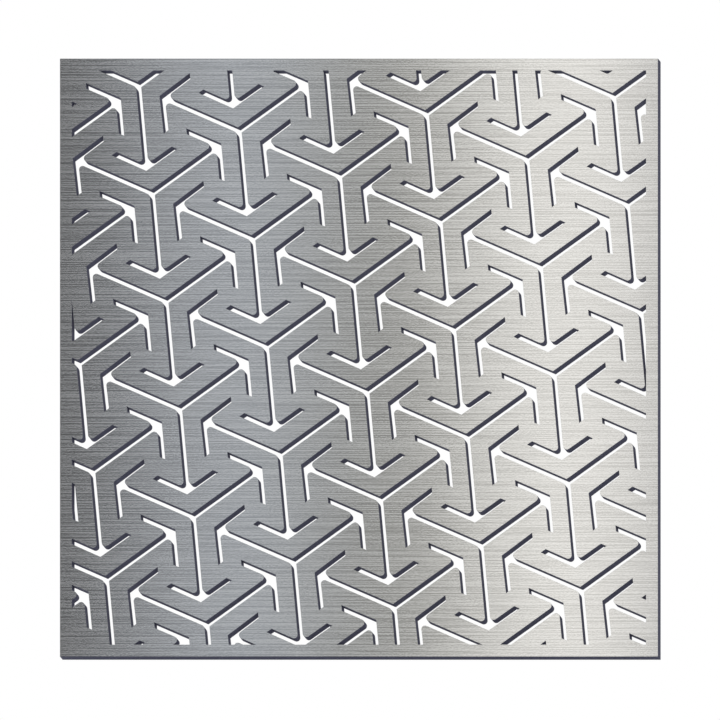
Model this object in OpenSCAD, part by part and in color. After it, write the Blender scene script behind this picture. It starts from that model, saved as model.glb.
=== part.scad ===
// Flat square screen cut from one sheet of metal. One slot shape is cut right through
// it over and over, inside a plain border: a Y whose three arms end in arrow heads.
// Each arrow points at the middle of a neighbouring Y, so the metal that is left
// reads as bands folded over and under each other.
// The sheet stands upright: its width runs along X, its height along Z, and its
// front faces -Y. The origin is the middle of the bottom edge. Sizes are millimetres.

/* [Sheet] */
// Width of the sheet
sheet_w = 600; // [300:10:1200]
// Height of the sheet
sheet_h = 600; // [300:10:1200]
// Thickness of the sheet
sheet_t = 4; // [1:0.5:12]
// Width of the uncut border round the pattern
border_w = 12; // [6:1:60]

/* [Pattern] */
// How far the Y below lies under each Y
below_drop = 108.2; // [90:0.1:140]
// How far the Y below lies to the right
below_shift = 13.7; // [0:0.1:25]
// How far the Y on the left lies to the left
left_run = 100.8; // [85:0.1:130]
// How far the Y on the left lies above
left_rise = 45.5; // [30:0.1:65]
// How far the middle Y lies to the right of the sheet's centre
pattern_right = 7.8; // [-50:0.1:50]
// How far the middle Y lies below the sheet's centre
pattern_down = 34.1; // [-50:0.1:50]

/* [Slot] */
// Width of the cut in the left and lower arms and in the barbs
slot_w = 5; // [2:0.1:7]
// Width of the cut in the right arm
right_arm_w = 6.3; // [2:0.1:8]
// Length of each arrow's two barbs
barb_l = 37.9; // [20:0.1:42]
// Radius of the fillets where a barb meets its arm
barb_fillet_r = 3.7; // [1:0.1:5.5]
// Radius of the fillet between the left arm and the lower arm
middle_fillet_r = 5.3; // [1:0.1:10]
// Narrowest tip of a slot that is cut at the border, as a share of the narrowest arm
least_tip = 0.45; // [0.05:0.05:0.9]

/* [Reach of the arms] */
// From the right arrow's tip to the middle of the Y it points at
right_tip_gap = 22.1; // [18:0.1:35]
// From the left arrow's tip to the middle of the Y it points at
left_tip_gap = 23.7; // [18:0.1:35]
// From the lower arrow's tip to the middle of the Y it points at
lower_tip_gap = 22.8; // [18:0.1:35]

/* [Lean, in degrees, anticlockwise] */
// Right arm, off the line to the Y it points at
right_arm_lean = 0; // [-3:0.1:3]
// Left arm, off the line to the Y it points at
left_arm_lean = 0.8; // [-3:0.1:3]
// Lower arm, off the line to the Y it points at
lower_arm_lean = -2; // [-3:0.1:3]
// Barbs of the right arrow, off the arms they run alongside
right_barb_lean = 0.2; // [-3:0.1:3]
// Barbs of the left arrow, off the arms they run alongside
left_barb_lean = 1.2; // [-3:0.1:3]
// Barbs of the lower arrow, off the arms they run alongside
lower_barb_lean = -0.5; // [-3:0.1:3]

/* [Hidden] */

sheet_colour = [0.66, 0.66, 0.67];
// Straight pieces that stand for each fillet's arc
fillet_steps = 8;

// The three arms, anticlockwise
RIGHT = 0;
LEFT = 1;
LOWER = 2;
ARMS = [RIGHT, LEFT, LOWER];

// Steps from a Y to the three that its arrows point at
step_left = [-left_run, left_rise];
step_below = [below_shift, -below_drop];
steps = [-step_left - step_below, step_left, step_below];

// Each arm's direction in degrees, its length from the middle to the arrow's tip, the
// width of its cut, the lean of its barbs, and the fillet in the corner between it and
// the next arm anticlockwise, where 0 stays sharp
arm_leans = [right_arm_lean, left_arm_lean, lower_arm_lean];
tip_gaps = [right_tip_gap, left_tip_gap, lower_tip_gap];
arm_angles = [for (i = ARMS) bearing(steps[i]) + arm_leans[i]];
arm_lengths = [for (i = ARMS) norm(steps[i]) - tip_gaps[i]];
arm_widths = [right_arm_w, slot_w, slot_w];
barb_leans = [right_barb_lean, left_barb_lean, lower_barb_lean];
middle_fillets = [0, middle_fillet_r, 0];

slot_corners = [for (i = ARMS) each arm_corners(i)];
slot_outline = [for (i = [0:len(slot_corners) - 1]) each rounded_corner(slot_corners, i)];
slot_reach = max([for (corner = slot_corners) norm(corner[0])]);
sliver_w = least_tip * min(arm_widths);

// The pattern's window inside the border, and the middle Y, from the sheet's
// bottom left corner
window_corner = [border_w, border_w];
window_size = [sheet_w, sheet_h] - 2 * window_corner;
middle_y = [sheet_w / 2 + pattern_right, sheet_h / 2 - pattern_down];
// Steps to count each way from the middle Y so that none in the window is missed
step_count = ceil(1 + norm([sheet_w, sheet_h]) / min([for (step = steps) norm(step)]));

function bearing(v) = atan2(v[1], v[0]);
function heading(angle) = [cos(angle), sin(angle)];
function left_of(v) = [-v[1], v[0]];
function after(i) = (i + 1) % len(ARMS);
function before(i) = (i + 2) % len(ARMS);

// Where the line through p along u crosses the line through q along v
function crossing(p, u, q, v) = p + u * cross(q - p, v) / cross(u, v);

// The eight corners of one arm, anticlockwise, each with its fillet's radius: out
// along the arm's clockwise side, round both barbs, and back to the middle. Each barb
// runs alongside one of the other arms, and its end is cut parallel to the other barb.
function arm_corners(i) =
    let(
        along = heading(arm_angles[i]),
        next_along = heading(arm_angles[after(i)]),
        side = left_of(along) * arm_widths[i] / 2,
        next_side = left_of(next_along) * arm_widths[after(i)] / 2,
        tip = along * arm_lengths[i],
        cw_barb = heading(arm_angles[before(i)] + barb_leans[i]),
        ccw_barb = heading(arm_angles[after(i)] + barb_leans[i]),
        cw_inner = tip - left_of(cw_barb) * slot_w,
        ccw_inner = tip + left_of(ccw_barb) * slot_w,
        cw_end = tip + cw_barb * barb_l,
        ccw_end = tip + ccw_barb * barb_l
    )
    [
        [crossing(-side, along, cw_inner, cw_barb), barb_fillet_r],
        [crossing(cw_end, ccw_barb, cw_inner, cw_barb), 0],
        [cw_end, 0],
        [tip, 0],
        [ccw_end, 0],
        [crossing(ccw_end, cw_barb, ccw_inner, ccw_barb), 0],
        [crossing(side, along, ccw_inner, ccw_barb), barb_fillet_r],
        [crossing(side, along, -next_side, next_along), middle_fillets[i]]
    ];

// Corner i as its one point, or as points on the arc that touches both its edges
function rounded_corner(corners, i) =
    let(
        count = len(corners),
        corner = corners[i][0],
        radius = corners[i][1],
        back = corners[(i + count - 1) % count][0] - corner,
        ahead = corners[(i + 1) % count][0] - corner,
        back_dir = back / norm(back),
        ahead_dir = ahead / norm(ahead),
        half_angle = acos(back_dir * ahead_dir) / 2,
        middle_dir = (back_dir + ahead_dir) / norm(back_dir + ahead_dir),
        centre = corner + middle_dir * radius / sin(half_angle),
        sweep = sign(cross(back_dir, ahead_dir)) * (180 - 2 * half_angle),
        start = bearing(-middle_dir) + sweep / 2
    )
    radius == 0 ? [corner] :
    [for (k = [0:fillet_steps]) centre + radius * heading(start - sweep * k / fillet_steps)];

// Whether any of a slot with its middle at p may lie in the window
function reaches_window(p) =
    p[0] > window_corner[0] - slot_reach && p[0] < window_corner[0] + window_size[0] + slot_reach &&
    p[1] > window_corner[1] - slot_reach && p[1] < window_corner[1] + window_size[1] + slot_reach;

module slots() {
    for (m = [-step_count:step_count], n = [-step_count:step_count]) {
        place = middle_y + m * step_left + n * step_below;
        if (reaches_window(place))
            translate(place) polygon(slot_outline);
    }
}

module slots_in_window() {
    intersection() {
        translate(window_corner) square(window_size);
        slots();
    }
}

// The slots in the window without the slivers that the border leaves of some. Shrunk,
// the slivers are gone, and what is left shows which cuts to keep: it is grown past
// their outlines, and they are cut out of it as they were.
module cuts() {
    intersection() {
        slots_in_window();
        offset(delta = sliver_w) offset(delta = -sliver_w / 2) slots_in_window();
    }
}

module screen_panel() {
    color(sheet_colour)
    translate([-sheet_w / 2, sheet_t / 2, 0])
    rotate([90, 0, 0])
    linear_extrude(sheet_t)
    difference() {
        square([sheet_w, sheet_h]);
        cuts();
    }
}

screen_panel();
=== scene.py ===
import bpy
import numpy as np
from mathutils import Matrix, Vector


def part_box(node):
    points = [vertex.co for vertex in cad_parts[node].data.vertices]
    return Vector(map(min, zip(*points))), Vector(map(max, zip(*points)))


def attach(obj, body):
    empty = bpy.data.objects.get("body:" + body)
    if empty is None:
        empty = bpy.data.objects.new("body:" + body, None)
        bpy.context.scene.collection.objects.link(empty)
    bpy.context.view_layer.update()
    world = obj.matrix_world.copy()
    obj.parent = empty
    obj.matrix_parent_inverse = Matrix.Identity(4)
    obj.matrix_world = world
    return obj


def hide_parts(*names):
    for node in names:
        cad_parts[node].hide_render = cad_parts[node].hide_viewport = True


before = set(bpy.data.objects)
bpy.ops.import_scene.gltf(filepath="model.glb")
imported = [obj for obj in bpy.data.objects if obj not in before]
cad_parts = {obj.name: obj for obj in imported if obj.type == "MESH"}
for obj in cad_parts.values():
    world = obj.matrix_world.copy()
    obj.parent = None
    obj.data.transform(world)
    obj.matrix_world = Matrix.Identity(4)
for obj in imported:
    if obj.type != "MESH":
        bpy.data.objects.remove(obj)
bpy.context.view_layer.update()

MM = 0.001

# The sheet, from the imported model
SHEET = "screen_panel"
sheet_low, sheet_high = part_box(SHEET)
sheet_w = sheet_high.x - sheet_low.x
sheet_middle = (sheet_low + sheet_high) / 2
front_y, back_y = sheet_low.y, sheet_high.y

# The laser and the brushing belt leave every edge broken by this much
edge_radius = 0.1 * MM
edge_steps = 3

# Corners of the cut that turn by more than this stay sharp, and the rest are arcs
sharp_turn = np.radians(20)

# The UV map that tells the brushed metal which way is across the grain
grain_map = "across_grain"


def linear(hex_colour):
    """The linear RGBA value of an sRGB hex colour such as 8a8b8c."""
    channels = [int(hex_colour[i:i + 2], 16) / 255 for i in (0, 2, 4)]
    return [c / 12.92 if c <= 0.04045 else ((c + 0.055) / 1.055) ** 2.4 for c in channels] + [1]


def add_node(tree, kind, inputs=None, **settings):
    """Adds a node. Its settings are set by name, and each of its inputs, by name or
    number, is linked where the value is another node's output and set otherwise."""
    node = tree.nodes.new(kind)
    for name, value in settings.items():
        setattr(node, name, value)
    for name, value in (inputs or {}).items():
        if isinstance(value, bpy.types.NodeSocket):
            tree.links.new(value, node.inputs[name])
        else:
            node.inputs[name].default_value = value
    return node


def empty_material(name):
    """A new material, and its tree with no node in it yet."""
    material = bpy.data.materials.new(name)
    material.use_nodes = True
    material.node_tree.nodes.clear()
    return material, material.node_tree


def new_object(name, data):
    """An object at the origin that shows this data."""
    made = bpy.data.objects.new(name, data)
    bpy.context.scene.collection.objects.link(made)
    return made


# ---------------------------------------------------------------------- the sheet

def sheet_outline(node):
    """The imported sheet's front face as flat arrays: its corners in X and Z, its
    triangles, and for each corner the corners before and after it along the cut, with
    the metal on the left. A side of a triangle is on the cut where no other triangle
    has the same side the other way round."""
    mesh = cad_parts[node].data
    mesh.calc_loop_triangles()
    points = np.empty(len(mesh.vertices) * 3, np.float32)
    mesh.vertices.foreach_get("co", points)
    triangles = np.empty(len(mesh.loop_triangles) * 3, np.int32)
    mesh.loop_triangles.foreach_get("vertices", triangles)
    points = points.reshape(-1, 3).astype(float)
    merge_step = 0.001 * MM
    _, first, merged = np.unique(
        np.round(points / merge_step), axis=0, return_index=True, return_inverse=True)
    points = points[first]
    triangles = merged.reshape(-1)[triangles].reshape(-1, 3)
    on_front = np.isclose(points[:, 1], front_y, atol=merge_step)
    triangles = triangles[on_front[triangles].all(axis=1)]
    used, triangles = np.unique(triangles, return_inverse=True)
    triangles = triangles.reshape(-1, 3)
    count = len(used)
    sides = np.concatenate([triangles[:, [0, 1]], triangles[:, [1, 2]], triangles[:, [2, 0]]])
    same_way = sides[:, 0] * count + sides[:, 1]
    other_way = sides[:, 1] * count + sides[:, 0]
    cut = sides[~np.isin(same_way, other_way)]
    after = np.zeros(count, int)
    before = np.zeros(count, int)
    after[cut[:, 0]] = cut[:, 1]
    before[cut[:, 1]] = cut[:, 0]
    return points[used][:, [0, 2]], triangles, before, after


def unit(vectors):
    """Each row at length 1."""
    return vectors / np.linalg.norm(vectors, axis=1, keepdims=True)


def left_of(vectors):
    """Each row turned a quarter turn anticlockwise."""
    return np.stack([-vectors[:, 1], vectors[:, 0]], axis=1)


def sheet_mesh(name):
    """The sheet as one closed mesh. Rings of corners follow the cut from the front face
    to the back. Each broken edge is a quarter circle: at the angle a from the face, the
    ring is edge_radius (1 - sin a) into the metal and edge_radius (1 - cos a) below the
    face. A ring that lies r into the metal moves each corner by r (n + m) / (1 + n . m),
    where n and m are the left sides of the stretches before and after it."""
    flat, triangles, before, after = sheet_outline(SHEET)
    count = len(flat)
    ahead = unit(flat[after] - flat)
    behind = ahead[before]
    n, m = left_of(behind), left_of(ahead)
    inward = (n + m) / (1 + (n * m).sum(axis=1, keepdims=True))

    a = np.linspace(0, np.pi / 2, edge_steps + 1)
    inset = edge_radius * (1 - np.sin(a))
    depth = edge_radius * (1 - np.cos(a))
    inset = np.concatenate([inset, inset[::-1]])
    depth = np.concatenate([front_y + depth, back_y - depth[::-1]])
    rings = len(inset)
    points = np.empty((rings, count, 3))
    points[:, :, [0, 2]] = flat + inset[:, None, None] * inward
    points[:, :, 1] = depth[:, None]

    # Each wall piece runs from a corner to the next and from a ring to the next one back
    ring = np.arange(rings - 1)[:, None] * count
    start = np.arange(count)[None, :]
    walls = np.stack(
        [ring + start, ring + count + start, ring + count + after, ring + after], axis=-1)
    walls = walls.reshape(-1, 4)
    back = triangles[:, ::-1] + (rings - 1) * count

    mesh = bpy.data.meshes.new(name)
    loops = np.concatenate([triangles.reshape(-1), back.reshape(-1), walls.reshape(-1)])
    sizes = np.concatenate([np.full(2 * len(triangles), 3), np.full(len(walls), 4)])
    starts = np.concatenate([[0], np.cumsum(sizes)[:-1]])
    mesh.vertices.add(rings * count)
    mesh.vertices.foreach_set("co", points.reshape(-1))
    mesh.loops.add(len(loops))
    mesh.loops.foreach_set("vertex_index", loops)
    mesh.polygons.add(len(sizes))
    mesh.polygons.foreach_set("loop_start", starts)
    mesh.polygons.foreach_set("loop_total", sizes)
    is_wall = sizes == 4
    mesh.polygons.foreach_set("material_index", is_wall.astype(int))
    mesh.polygons.foreach_set("use_smooth", np.ones(len(sizes), bool))

    # Across the grain: up the faces, and along the cut on its walls
    across = mesh.uv_layers.new(name=grain_map)
    face_loops = 2 * triangles.size
    uv = np.empty((len(loops), 2))
    uv[:face_loops] = points.reshape(-1, 3)[loops[:face_loops]][:, [2, 0]]
    length = np.linalg.norm(flat[after] - flat, axis=1)
    along = np.stack([0 * length, 0 * length, length, length], axis=-1)
    down = np.stack([depth[:-1], depth[1:], depth[1:], depth[:-1]], axis=-1)
    uv[face_loops:, 0] = np.broadcast_to(along[None], (rings - 1, count, 4)).reshape(-1)
    uv[face_loops:, 1] = np.broadcast_to(down[:, None], (rings - 1, count, 4)).reshape(-1)
    across.data.foreach_set("uv", uv.reshape(-1))
    mesh.update(calc_edges=True)

    # Sharp: where a broken edge meets a face or a wall, and the cut's own corners
    ends = np.empty(len(mesh.edges) * 2, int)
    mesh.edges.foreach_get("vertices", ends)
    ends = ends.reshape(-1, 2)
    ring_of, corner_of = ends // count, ends % count
    meets = np.isin(ring_of, [0, edge_steps, edge_steps + 1, rings - 1]).all(axis=1)
    round_the_cut = ring_of[:, 0] == ring_of[:, 1]
    turn = np.arccos(np.clip((behind * ahead).sum(axis=1), -1, 1))
    corner = (corner_of[:, 0] == corner_of[:, 1]) & (turn[corner_of[:, 0]] > sharp_turn)
    sharp = mesh.attributes.new("sharp_edge", "BOOLEAN", "EDGE")
    sharp.data.foreach_set("value", (meets & round_the_cut) | corner)
    mesh.validate()
    return mesh


# ---------------------------------------------------------------------- materials

def brushed_stainless(name):
    """Stainless steel, satin brushed along the width with a belt. It gives fine hairlines in
    light and dark, and a sheen that spreads across them. The belt's scratches are paler than the
    metal between them, and the torn metal in them scatters a share of the light all round, as a
    matt surface does. Below each scratch the colour is darker, as painted shade of the scratch's
    shaded flank."""
    # Real scratches are about 0.1 mm tall, and these are as tall as they need to show
    scratch_tall = 0.9 * MM
    long_scratch, short_scratch, tick = 180 * MM, 40 * MM, 1.5 * MM
    short_share, tick_share = 0.36, 0.34
    # Each scratch has a pale flank with a dark one this far below it. The dark one is painted
    # shade of the groove's shaded flank, and it also sets roughness, torn share and bump.
    flank_drop, painted_shade_share = 1.0 * MM, 0.42
    least_noise, most_noise = 0.35, 0.65
    # Tone, roughness and share of torn metal, between the scratches and in them
    clean_tone, scratch_tone = 0.65, 1.0
    clean_rough, scratch_rough = 0.12, 0.18
    clean_torn, scratch_torn = 0.0, 0.13
    scratch_depth = 0.01 * MM

    material, tree = empty_material(name)
    place = add_node(tree, "ShaderNodeTexCoord").outputs["Object"]

    def streaks(long, lift):
        """Noise drawn out along the grain, in streaks this long, and read this far
        above each point."""
        point = add_node(tree, "ShaderNodeVectorMath", {0: place, 1: (0, 0, lift)}).outputs[0]
        scale = (1 / long, 1 / scratch_tall, 1 / scratch_tall)
        point = add_node(tree, "ShaderNodeVectorMath", {0: point, 1: scale},
                         operation="MULTIPLY").outputs[0]
        noise = add_node(tree, "ShaderNodeTexNoise", {"Vector": point, "Scale": 1, "Detail": 0})
        return noise.outputs["Fac"]

    def flank(lift):
        """Long and short scratches with ticks among them, read this far above."""
        lines = add_node(tree, "ShaderNodeMix", {
            0: short_share, 2: streaks(long_scratch, lift), 3: streaks(short_scratch, lift)})
        return add_node(tree, "ShaderNodeMix", {
            0: tick_share, 2: lines.outputs[0], 3: streaks(tick, lift)}).outputs[0]

    # A share below zero takes the flank above away. This paints a line of shade below each
    # scratch.
    pale = add_node(tree, "ShaderNodeMix", {0: -painted_shade_share, 2: flank(0), 3: flank(flank_drop)},
                    clamp_factor=False)
    scratch = add_node(tree, "ShaderNodeMapRange", {
        "Value": pale.outputs[0], 1: least_noise, 2: most_noise}).outputs[0]

    def by_scratch(clean, scratched):
        """A value that goes from this much on clean metal to this much in a scratch."""
        return add_node(tree, "ShaderNodeMapRange", {
            "Value": scratch, 3: clean, 4: scratched}).outputs[0]

    # The steel's tone follows the scratches: paler in them, and darker below each one as painted
    # shade
    steel = add_node(tree, "ShaderNodeMix", {
        "Factor": 1, 6: linear("e8e8e9"), 7: by_scratch(clean_tone, scratch_tone)},
        data_type="RGBA", blend_type="MULTIPLY").outputs[2]
    tangent = add_node(tree, "ShaderNodeTangent", direction_type="UV_MAP", uv_map=grain_map)
    bump = add_node(tree, "ShaderNodeBump", {
        "Height": scratch, "Distance": scratch_depth, "Strength": 1}).outputs[0]
    satin = add_node(tree, "ShaderNodeBsdfPrincipled", {
        "Base Color": steel, "Metallic": 1, "Roughness": by_scratch(clean_rough, scratch_rough),
        "Anisotropic": 1, "Tangent": tangent.outputs[0], "Normal": bump})
    torn = add_node(tree, "ShaderNodeBsdfPrincipled", {
        "Base Color": steel, "Roughness": 1, "Normal": bump})
    shader = add_node(tree, "ShaderNodeMixShader", {
        0: by_scratch(clean_torn, scratch_torn), 1: satin.outputs[0], 2: torn.outputs[0]})
    add_node(tree, "ShaderNodeOutputMaterial", {"Surface": shader.outputs[0]})
    return material


def laser_cut_edge(name):
    """The cut's wall, a thin blue-grey oxide on steel with fine lines through the
    thickness. It gives a dark, nearly even tone."""
    # The lines are coarser than real ones, so that they show. A metre holds this many
    # steps across the lines, of 0.4 mm each, and along them, of 8.3 mm each.
    steps_across, steps_along = 2500, 120
    least_noise, most_noise = 0.25, 0.75
    dark_tone, pale_tone = 0.85, 1.15
    line_depth = 0.03 * MM

    material, tree = empty_material(name)
    place = add_node(tree, "ShaderNodeTexCoord").outputs["Object"]
    scaled = add_node(tree, "ShaderNodeVectorMath", {
        0: place, 1: (steps_across, steps_along, steps_across)}, operation="MULTIPLY").outputs[0]
    lines = add_node(tree, "ShaderNodeTexNoise", {
        "Vector": scaled, "Scale": 1, "Detail": 2}).outputs["Fac"]
    tone = add_node(tree, "ShaderNodeMapRange", {
        "Value": lines, 1: least_noise, 2: most_noise, 3: dark_tone, 4: pale_tone})
    oxide = add_node(tree, "ShaderNodeMix", {
        "Factor": 1, 6: linear("5a5b6c"), 7: tone.outputs[0]},
        data_type="RGBA", blend_type="MULTIPLY").outputs[2]
    bump = add_node(tree, "ShaderNodeBump", {
        "Height": lines, "Distance": line_depth, "Strength": 0.5}).outputs[0]
    shader = add_node(tree, "ShaderNodeBsdfPrincipled", {
        "Base Color": oxide, "Roughness": 0.85, "Specular IOR Level": 0.1, "Normal": bump})
    add_node(tree, "ShaderNodeOutputMaterial", {"Surface": shader.outputs[0]})
    return material


sheet_data = sheet_mesh("brushed_screen")
sheet_data.materials.append(brushed_stainless("stainless_steel_satin_brushed"))
sheet_data.materials.append(laser_cut_edge("stainless_steel_laser_cut_edge"))
sheet = new_object("brushed_screen", sheet_data)
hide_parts(SHEET)
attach(sheet, "root")

# ------------------------------------------------------------------------ camera

# The photograph is an oblique view: the face is drawn square and without
# perspective, and the thickness is drawn sliding down to the right. A sheared
# camera gives that. Its picture plane is the face's own, and it looks at the sheet
# from the front, from below and from the right.
photo_px = 720
face_px = 598
face_middle_px = (358.93, 357.55)
metres_per_px = sheet_w / face_px
# A depth of 1 is drawn this far to the right and this far down
slide_right, slide_down = 0.695, 0.82
towards_camera = Vector((slide_right, -1, -slide_down)).normalized()
camera_distance = 1.5

camera_data = bpy.data.cameras.new("camera")
camera_data.type = "ORTHO"
camera_data.ortho_scale = photo_px * metres_per_px
camera = new_object("camera", camera_data)
aim = Vector((
    sheet_middle.x + (photo_px / 2 - face_middle_px[0]) * metres_per_px,
    front_y,
    sheet_middle.z - (photo_px / 2 - face_middle_px[1]) * metres_per_px))
shear = Matrix((
    (1, 0, towards_camera.x, 0),
    (0, 0, towards_camera.y, 0),
    (0, 1, towards_camera.z, 0),
    (0, 0, 0, 1)))
shear.translation = aim + towards_camera * camera_distance
camera_stand = new_object("camera_stand", None)
camera.parent = camera_stand
camera.matrix_parent_inverse = shear
bpy.context.scene.camera = camera

# ------------------------------------------------------------------ floor and light

def plane(name, corners):
    """A flat sheet through four corners."""
    mesh = bpy.data.meshes.new(name)
    mesh.from_pydata(corners, [], [(0, 1, 2, 3)])
    made = new_object(name, mesh)
    return made


# A pale matt floor, a little below the sheet. It is clear from below, where the camera is.
floor_reach = 12
floor_gap = 8 * MM
floor_z = sheet_low.z - floor_gap
floor = plane("floor", [
    (-floor_reach, -floor_reach, floor_z), (floor_reach, -floor_reach, floor_z),
    (floor_reach, floor_reach, floor_z), (-floor_reach, floor_reach, floor_z)])
floor_paint, tree = empty_material("floor_paint")
paint = add_node(tree, "ShaderNodeBsdfDiffuse", {"Color": linear("f0f0f0")})
clear = add_node(tree, "ShaderNodeBsdfTransparent")
under = add_node(tree, "ShaderNodeNewGeometry").outputs["Backfacing"]
shader = add_node(tree, "ShaderNodeMixShader", {
    0: under, 1: paint.outputs[0], 2: clear.outputs[0]})
add_node(tree, "ShaderNodeOutputMaterial", {"Surface": shader.outputs[0]})
floor.data.materials.append(floor_paint)

# A reflector card hangs where the face mirrors the camera's line: to the left, in front
# and above. It is a grey card with a dim left end, a narrow cool strip and a wide pale
# window. The same card, turned half round, hangs behind the sheet.
card_y = -0.6
card_left, card_right, card_foot, card_head = -1.5, 1.5, 0.0, 2.4
card_strength = 1.8
card_stops = [  # metres along X, tone
    (-0.75, "505050"),
    (-0.52, "969a9e"),
    (-0.40, "848480"),
    (-0.20, "d8d6d0"),
    (0.00, "888888"),
]
card = plane("reflector_card", [
    (card_left, card_y, card_foot), (card_left, card_y, card_head),
    (card_right, card_y, card_head), (card_right, card_y, card_foot)])
card_light, tree = empty_material("reflector_card")
place = add_node(tree, "ShaderNodeTexCoord").outputs["Object"]
axes = add_node(tree, "ShaderNodeSeparateXYZ", {0: place}).outputs
first_x, last_x = card_stops[0][0], card_stops[-1][0]
across = add_node(tree, "ShaderNodeMapRange", {"Value": axes["X"], 1: first_x, 2: last_x})
ramp = add_node(tree, "ShaderNodeValToRGB", {0: across.outputs[0]})
ramp.color_ramp.interpolation = "EASE"
# Each new stop starts half way and then gets its own place
for _ in card_stops[2:]:
    ramp.color_ramp.elements.new(0.5)
for element, (stop_x, tone) in zip(ramp.color_ramp.elements, card_stops):
    element.position = (stop_x - first_x) / (last_x - first_x)
    element.color = linear(tone)
glow = add_node(tree, "ShaderNodeEmission", {
    "Color": ramp.outputs[0], "Strength": card_strength})
add_node(tree, "ShaderNodeOutputMaterial", {"Surface": glow.outputs[0]})
card.data.materials.append(card_light)
back_card = new_object("reflector_card_back", card.data)
back_card.rotation_euler.z = np.pi
for hung in (card, back_card):
    hung.visible_camera = False
    hung.visible_diffuse = False
    hung.visible_shadow = False

# A white room. It lights matt surfaces less strongly than it shows to the camera, in
# reflections and through glass.
lighting_level, seen_level = 0.7, 1.0
world = bpy.data.worlds.new("studio")
bpy.context.scene.world = world
world.use_nodes = True
tree = world.node_tree
tree.nodes.clear()
ray = add_node(tree, "ShaderNodeLightPath").outputs
seen = add_node(tree, "ShaderNodeMath", {
    0: ray["Is Camera Ray"], 1: ray["Is Glossy Ray"]}, operation="MAXIMUM")
seen = add_node(tree, "ShaderNodeMath", {
    0: seen.outputs[0], 1: ray["Is Transmission Ray"]}, operation="MAXIMUM")
level = add_node(tree, "ShaderNodeMapRange", {
    "Value": seen.outputs[0], 3: lighting_level, 4: seen_level})
background = add_node(tree, "ShaderNodeBackground", {
    "Color": linear("ffffff"), "Strength": level.outputs[0]})
add_node(tree, "ShaderNodeOutputWorld", {"Surface": background.outputs[0]})


def softbox(name, place, aim, width, height, power):
    """A soft rectangular lamp that shines from place towards aim."""
    data = bpy.data.lights.new(name, "AREA")
    data.shape = "RECTANGLE"
    data.size, data.size_y = width, height
    data.energy = power
    lamp = new_object(name, data)
    lamp.location = place
    lamp.rotation_euler = (Vector(aim) - Vector(place)).to_track_quat("-Z", "Y").to_euler()
    lamp.visible_camera = False
    return lamp


softbox("key_softbox", place=(-3.0, -0.8, 2.4), aim=sheet_middle, width=1.6, height=1.6, power=40)

bpy.context.scene.view_settings.view_transform = "Standard"
